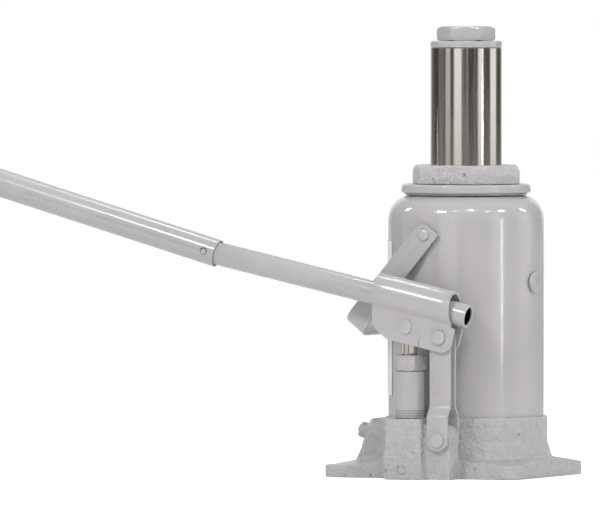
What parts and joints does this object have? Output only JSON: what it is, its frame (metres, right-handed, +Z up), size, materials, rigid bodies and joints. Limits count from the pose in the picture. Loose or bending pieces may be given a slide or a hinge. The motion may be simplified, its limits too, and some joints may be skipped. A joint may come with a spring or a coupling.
{
  "type": "hydraulic bottle jack",
  "caption": "Hydraulic bottle jack with a raised ram and screw-out head, a pump linkage, a two-piece handle in its socket and a carry bail.",
  "frame": {"origin": "on the ram axis at the underside of the base", "axes": "+Z up along the ram, -X along the handle, -Y towards the pump linkage"},
  "size_m": [0.6325, 0.1856, 0.3819],
  "materials": {
    "grey_paint": "glossy light grey enamel",
    "cast_paint": "light grey enamel over rough casting",
    "bright_steel": "ground and polished",
    "plain_steel": "machined",
    "brass": "machined",
    "black_rubber": "matt",
    "grey_rubber": "grey, painted over with the tank",
    "white_label": "blank film label"
  },
  "bodies": {
    "base": {"base_casting": "cast_paint", "tank_gasket": "black_rubber", "cylinder_gasket": "brass", "intake_plug": "grey_paint", "suction_strainer": "brass", "suction_spring": "plain_steel", "suction_cage": "plain_steel", "discharge_spring": "plain_steel", "discharge_cage": "plain_steel", "overload_spring": "plain_steel", "overload_screw": "brass", "reservoir_tank": "grey_paint", "pressure_cylinder": "plain_steel", "top_gasket": "black_rubber", "top_disc": "grey_paint", "top_nut": "cast_paint", "gland_bush": "brass", "ram_wiper": "black_rubber", "label_blank": "white_label", "pump_body": "grey_paint", "pump_gland_seal": "black_rubber", "pump_gland_cap": "grey_paint", "lower_link_pin": "grey_paint", "lower_pin_clip": "plain_steel", "bail_stud_near": "grey_paint", "bail_stud_far": "grey_paint"},
    "suction_valve": {"suction_ball": "bright_steel"},
    "discharge_valve": {"discharge_ball": "bright_steel"},
    "overload_valve": {"overload_ball": "bright_steel"},
    "filler": {"filler_plug": "grey_rubber"},
    "ram": {"ram": "bright_steel", "ram_stop_ring": "grey_paint", "piston_cup": "black_rubber", "piston_retainer": "plain_steel"},
    "keeper": {"screw_keeper_ring": "plain_steel"},
    "screw": {"extension_screw": "grey_paint"},
    "plunger": {"plunger": "bright_steel", "plunger_cup": "black_rubber"},
    "links": {"link_near": "grey_paint", "link_far": "grey_paint"},
    "lever": {"socket_lever": "grey_paint", "upper_link_pin": "grey_paint", "upper_pin_clip": "plain_steel", "plunger_pin": "grey_paint", "plunger_pin_clip": "plain_steel"},
    "handle": {"handle_inner": "grey_paint", "handle_outer": "grey_paint", "detent_spring": "plain_steel"},
    "detent": {"detent_button": "grey_paint"},
    "bail": {"carry_bail": "grey_paint"},
    "release_seal": {"release_seal_ring": "black_rubber", "release_ball": "bright_steel"},
    "release_screw": {"release_valve": "plain_steel"}
  },
  "joints": [
    {"name": "ram_lift", "type": "slide", "parent": "base", "child": "ram", "axis": [0, 0, 1], "range_m": [-0.1, 0.07]},
    {"name": "screw_rise", "type": "slide", "parent": "ram", "child": "keeper", "axis": [0, 0, 1], "range_m": [0, 0.0641]},
    {"name": "screw_turn", "type": "hinge", "parent": "keeper", "child": "screw", "pos_m": [0, 0, 0.3], "axis": [0, 0, 1], "range_deg": [0, 2880]},
    {"name": "link_swing", "type": "hinge", "parent": "base", "child": "links", "pos_m": [0.0147, -0.087, 0.0333], "axis": [0, 1, 0], "range_deg": [-3.3, 1.8]},
    {"name": "lever_swing", "type": "hinge", "parent": "links", "child": "lever", "pos_m": [0.0147, -0.087, 0.1203], "axis": [0, 1, 0], "range_deg": [-15, 28]},
    {"name": "plunger_stroke", "type": "slide", "parent": "base", "child": "plunger", "axis": [0, 0, 1], "range_m": [-0.0067, 0.0124]},
    {"name": "handle_pull", "type": "slide", "parent": "lever", "child": "handle", "axis": [-0.9763, 0, 0.2164], "range_m": [0, 0.09]},
    {"name": "detent_press", "type": "slide", "parent": "handle", "child": "detent", "axis": [0, 1, 0], "range_m": [0, 0.003], "stiffness_N_per_m": 500, "springref_m": -0.003, "deforming": ["detent_spring"]},
    {"name": "bail_swing", "type": "hinge", "parent": "base", "child": "bail", "pos_m": [-0.01, 0, 0.206], "axis": [0, 1, 0], "range_deg": [0, 116]},
    {"name": "valve_back_out", "type": "slide", "parent": "base", "child": "release_seal", "axis": [-0.9397, 0, 0.342], "range_m": [0, 0.003]},
    {"name": "valve_turn", "type": "hinge", "parent": "release_seal", "child": "release_screw", "pos_m": [-0.09, -0.017, 0.0395], "axis": [-0.9397, 0, 0.342], "range_deg": [0, 722]},
    {"name": "suction_lift", "type": "slide", "parent": "base", "child": "suction_valve", "axis": [0, 0, 1], "range_m": [0, 0.0015], "stiffness_N_per_m": 100, "springref_m": -0.003, "deforming": ["suction_spring"]},
    {"name": "discharge_lift", "type": "slide", "parent": "base", "child": "discharge_valve", "axis": [0, 0, 1], "range_m": [0, 0.0015], "stiffness_N_per_m": 100, "springref_m": -0.003, "deforming": ["discharge_spring"]},
    {"name": "overload_lift", "type": "slide", "parent": "base", "child": "overload_valve", "axis": [0, 0, 1], "range_m": [0, 0.0015], "stiffness_N_per_m": 400, "springref_m": -0.004, "deforming": ["overload_spring"]},
    {"name": "filler_pull", "type": "slide", "parent": "base", "child": "filler", "axis": [0.9903, -0.1392, 0], "range_m": [0, 0.012]}
  ],
  "couplings": [
    {"joint": "screw_rise", "follows": "screw_turn", "m_per_rad": 0.0012732},
    {"joint": "valve_turn", "follows": "valve_back_out", "rad_per_m": 4188.8},
    {"joint": "link_swing", "follows": "lever_swing", "ratio": -0.116},
    {"joint": "plunger_stroke", "follows": "lever_swing", "m_per_rad": 0.02487}
  ]
}
